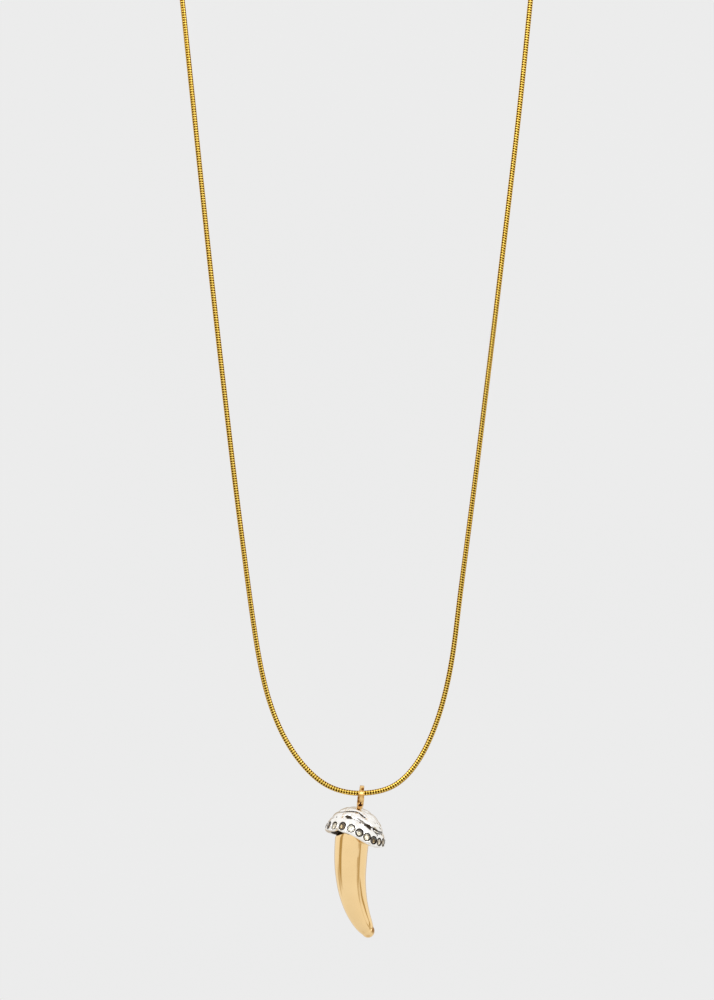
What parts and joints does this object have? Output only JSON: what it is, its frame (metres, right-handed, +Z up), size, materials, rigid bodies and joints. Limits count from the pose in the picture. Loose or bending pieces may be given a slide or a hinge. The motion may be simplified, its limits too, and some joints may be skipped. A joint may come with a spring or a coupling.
{
  "type": "cornicello horn pendant necklace",
  "caption": "Polished horn pendant under a domed cap set with a ring of round stones, hanging by a split-foot bail from a closed round snake chain with a barrel clasp.",
  "frame": {"origin": "underside of the barrel clasp at the top of the loop, where a nape or a hook carries the hanging necklace", "axes": "+Z up, the pendant hangs towards -Z; the loop lies in the XZ plane; the front with the horn's bend to the right faces -Y"},
  "size_m": [0.0882, 0.0141, 0.2976],
  "materials": {
    "chain_gold": "satin",
    "clasp_gold": "polished",
    "rose_gold": "polished",
    "silver": "polished",
    "pale_gold": "polished",
    "stone": "polished"
  },
  "bodies": {
    "loop": {"chain": "chain_gold", "clasp": "clasp_gold"},
    "pendant": {"bail": "rose_gold", "cap": "silver", "horn": "pale_gold", "stone_01": "stone", "stone_02": "stone", "stone_03": "stone", "stone_04": "stone", "stone_05": "stone", "stone_06": "stone", "stone_07": "stone", "stone_08": "stone", "stone_09": "stone", "stone_10": "stone", "stone_11": "stone", "stone_12": "stone", "stone_13": "stone", "stone_14": "stone", "stone_15": "stone", "stone_16": "stone", "stone_17": "stone", "stone_18": "stone", "stone_19": "stone", "stone_20": "stone"}
  },
  "joints": [
    {"name": "pendant_swing", "type": "hinge", "parent": "loop", "child": "pendant", "pos_m": [0.00116, 0, -0.26143], "axis": [1, 0, 0], "range_deg": [-90, 90]}
  ]
}
